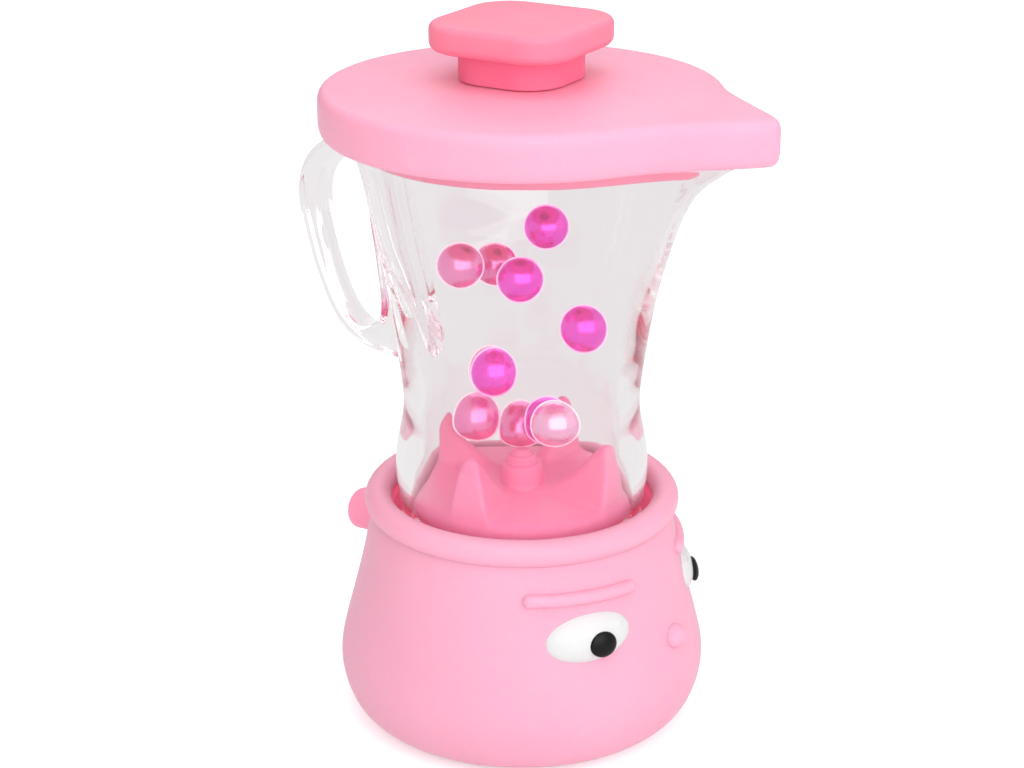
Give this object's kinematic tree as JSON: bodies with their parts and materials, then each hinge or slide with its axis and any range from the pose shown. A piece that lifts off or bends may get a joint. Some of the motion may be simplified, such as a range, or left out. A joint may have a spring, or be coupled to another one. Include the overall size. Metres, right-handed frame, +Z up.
{
  "type": "toy blender",
  "caption": "Toy blender with a pot-shaped base, clear spouted jar and loop handle, finned impeller, lid with lift-off knob, back push button and loose pearls in the jar.",
  "frame": {"origin": "on the pot's vertical axis, at the level of the foot ring's underside (the floor)", "axes": "+Z up, -Y towards the face and the pouring spout, +Y towards the handle and the push button"},
  "size_m": [0.1338, 0.1797, 0.2473],
  "materials": {
    "body_pink": "satin moulded plastic",
    "lid_pink": "satin moulded plastic",
    "plug_pink": "satin moulded plastic",
    "knob_pink": "satin moulded plastic",
    "neck_pink": "satin moulded plastic",
    "impeller_pink": "satin moulded plastic",
    "socket_pink": "satin moulded plastic, deep pink",
    "button_pink": "satin moulded plastic",
    "cover_pink": "moulded plastic",
    "coupling_pink": "moulded plastic",
    "clear_plastic": "clear, polished",
    "eye_white": "smooth white",
    "pupil_black": "smooth black",
    "gear_white": "moulded acetal",
    "inner_plastic": "moulded plastic",
    "switch_black": "moulded plastic",
    "cell_jacket": "plain printed film over a steel can",
    "foot_rubber": "soft pink rubber",
    "screw_steel": "zinc-plated",
    "shaft_steel": "ground",
    "motor_steel": "drawn steel can",
    "contact_metal": "nickel-plated spring steel",
    "spring_steel": "spring wire",
    "bush_brass": "sintered",
    "pearl_magenta": "pearlescent, glossy",
    "pearl_rose": "pearlescent, glossy",
    "pearl_dusty": "pearlescent, glossy",
    "pearl_pale": "pearlescent, glossy",
    "pearl_violet": "pearlescent, glossy"
  },
  "bodies": {
    "base": {"base_shell": "body_pink", "rim_collar": "body_pink", "jar_socket": "socket_pink", "bottom_cover": "cover_pink", "cover_screws": "screw_steel", "foot_ring": "foot_rubber", "motor": "motor_steel", "gear_plate": "inner_plastic", "plate_screws": "screw_steel", "spindle_bushes": "bush_brass", "battery_box": "inner_plastic", "batteries": "cell_jacket", "battery_contacts": "contact_metal", "battery_door": "cover_pink", "door_screw": "screw_steel", "micro_switch": "switch_black", "switch_holder": "inner_plastic", "button_spring": "spring_steel", "eye_white_left": "eye_white", "eye_white_right": "eye_white", "pupil_left": "pupil_black", "pupil_right": "pupil_black", "brow_left": "body_pink", "brow_right": "body_pink", "nose": "body_pink"},
    "spindle": {"drive_spindle": "shaft_steel", "spindle_gear": "gear_white", "drive_coupling": "coupling_pink"},
    "motor_rotor": {"motor_shaft": "shaft_steel", "motor_pinion": "bush_brass"},
    "button": {"power_button": "button_pink"},
    "jar": {"jar_body": "clear_plastic", "jar_handle": "clear_plastic", "shaft_bush": "bush_brass"},
    "impeller": {"impeller": "impeller_pink", "impeller_shaft": "shaft_steel", "driven_coupling": "coupling_pink", "hub_cap": "impeller_pink"},
    "lid": {"lid_shell": "lid_pink", "lid_plug": "plug_pink"},
    "cap": {"cap_knob": "knob_pink", "cap_neck": "neck_pink"},
    "pearl_01": {"pearl_01": "pearl_magenta"},
    "pearl_02": {"pearl_02": "pearl_dusty"},
    "pearl_03": {"pearl_03": "pearl_rose"},
    "pearl_04": {"pearl_04": "pearl_magenta"},
    "pearl_05": {"pearl_05": "pearl_magenta"},
    "pearl_06": {"pearl_06": "pearl_magenta"},
    "pearl_07": {"pearl_07": "pearl_rose"},
    "pearl_08": {"pearl_08": "pearl_rose"},
    "pearl_09": {"pearl_09": "pearl_rose"},
    "pearl_10": {"pearl_10": "pearl_pale"},
    "pearl_11": {"pearl_11": "pearl_violet"}
  },
  "joints": [
    {"name": "jar_lift", "type": "slide", "parent": "base", "child": "jar", "axis": [0, 0, 1], "range_m": [0, 0.05]},
    {"name": "impeller_spin", "type": "hinge", "parent": "jar", "child": "impeller", "pos_m": [0, 0, 0.078], "axis": [0, 0, 1], "continuous": true},
    {"name": "spindle_spin", "type": "hinge", "parent": "base", "child": "spindle", "pos_m": [0, 0, 0.052], "axis": [0, 0, 1], "continuous": true},
    {"name": "motor_spin", "type": "hinge", "parent": "base", "child": "motor_rotor", "pos_m": [0, 0.0256, 0.046], "axis": [0, 0, 1], "continuous": true},
    {"name": "button_press", "type": "slide", "parent": "base", "child": "button", "axis": [0, -1, 0], "range_m": [0, 0.0025], "stiffness_N_per_m": 300, "springref_m": -0.002, "deforming": ["button_spring"]},
    {"name": "lid_lift", "type": "slide", "parent": "jar", "child": "lid", "axis": [0, 0, 1], "range_m": [0, 0.04]},
    {"name": "cap_lift", "type": "slide", "parent": "lid", "child": "cap", "axis": [0, 0, 1], "range_m": [0, 0.03]},
    {"name": "tumble_pearl_01", "type": "slide", "parent": "jar", "child": "pearl_01", "axis": [0, 0, -1], "range_m": [0, 0.0575]},
    {"name": "tumble_pearl_02", "type": "slide", "parent": "jar", "child": "pearl_02", "axis": [0, 0, -1], "range_m": [0, 0.026]},
    {"name": "tumble_pearl_03", "type": "slide", "parent": "jar", "child": "pearl_03", "axis": [0, 0, -1], "range_m": [0, 0.0255]},
    {"name": "tumble_pearl_04", "type": "slide", "parent": "jar", "child": "pearl_04", "axis": [0, 0, -1], "range_m": [0, 0.01975]},
    {"name": "tumble_pearl_05", "type": "slide", "parent": "jar", "child": "pearl_05", "axis": [0, 0, -1], "range_m": [0, 0.01925]},
    {"name": "tumble_pearl_06", "type": "slide", "parent": "jar", "child": "pearl_06", "axis": [0, 0, -1], "range_m": [0, 0.002]},
    {"name": "tumble_pearl_07", "type": "slide", "parent": "jar", "child": "pearl_07", "axis": [0, 0, -1], "range_m": [0, 0.006]},
    {"name": "tumble_pearl_08", "type": "slide", "parent": "jar", "child": "pearl_08", "axis": [0, 0, -1], "range_m": [0, 0.011]},
    {"name": "tumble_pearl_09", "type": "slide", "parent": "jar", "child": "pearl_09", "axis": [0, 0, -1], "range_m": [0, 0.00225]},
    {"name": "tumble_pearl_10", "type": "slide", "parent": "jar", "child": "pearl_10", "axis": [0, 0, -1], "range_m": [0, 0.0045]},
    {"name": "tumble_pearl_11", "type": "slide", "parent": "jar", "child": "pearl_11", "axis": [0, 0, -1], "range_m": [0, 0.0075]}
  ],
  "couplings": [
    {"joint": "spindle_spin", "follows": "impeller_spin", "ratio": 1},
    {"joint": "motor_spin", "follows": "impeller_spin", "ratio": -3}
  ]
}
